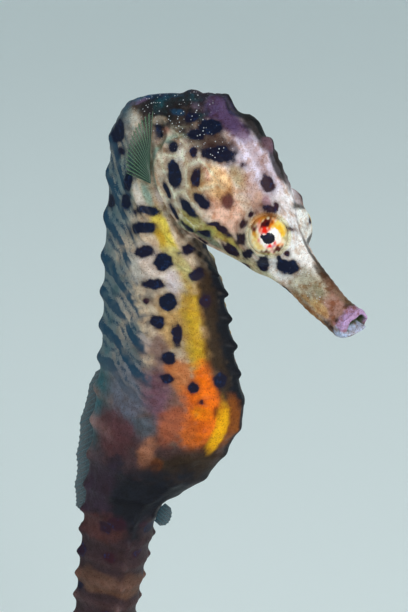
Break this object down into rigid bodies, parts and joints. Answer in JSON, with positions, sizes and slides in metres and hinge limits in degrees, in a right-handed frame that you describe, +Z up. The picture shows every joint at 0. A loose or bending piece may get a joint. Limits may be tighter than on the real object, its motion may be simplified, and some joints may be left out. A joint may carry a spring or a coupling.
{
  "type": "seahorse model on a display stand",
  "caption": "Life-size pot-bellied seahorse, upright with bowed head, ringed body and coiled tail, held on short steel rods over a round wooden base.",
  "frame": {"origin": "centre of the underside of the wooden base, where the part stands", "axes": "+Z up, from the base to the crown of the head; +X towards the snout, the way the seahorse faces; +Y towards the seahorse's left side"},
  "size_m": [0.0728, 0.068, 0.1542],
  "materials": {
    "head_skin": "satin painted resin, pale pinkish cream with dark round spots",
    "snout_skin": "satin painted resin, whitish to olive and pinkish brown",
    "lip": "satin, lilac pink",
    "crown_skin": "satin, dark purple",
    "gill_skin": "satin, cream and olive with dark streaks",
    "neck_skin": "satin, grey-cream with teal-black marks",
    "upper_trunk_skin": "satin, cream and yellow with dark spots and teal back stripes",
    "belly_skin": "satin, yellow and orange with dark spots",
    "lower_trunk_skin": "satin, dark purple-brown",
    "tail_skin": "satin, dark brown, paler bands",
    "eye": "polished, gold and red iris round a black pupil",
    "fin": "satin, thin, teal-green",
    "stand_wood": "satin dark varnished wood",
    "stand_steel": "brushed"
  },
  "bodies": {
    "root": {"snout": "snout_skin", "lower_jaw": "lip", "head": "head_skin", "coronet": "crown_skin", "eye_left": "eye", "eye_right": "eye", "gill_cover_left": "gill_skin", "gill_cover_right": "gill_skin", "neck": "neck_skin", "trunk_upper": "upper_trunk_skin", "trunk_middle": "belly_skin", "trunk_lower": "lower_trunk_skin", "dorsal_fin": "fin", "anal_fin": "fin", "pectoral_fin_left": "fin", "pectoral_fin_right": "fin", "tail_1": "tail_skin", "tail_2": "tail_skin", "tail_3": "tail_skin", "tail_4": "tail_skin", "tail_5": "tail_skin", "tail_6": "tail_skin", "tail_7": "tail_skin", "tail_8": "tail_skin", "stand_base": "stand_wood", "stand_rod_front": "stand_steel", "stand_rod_back": "stand_steel"}
  },
  "joints": []
}
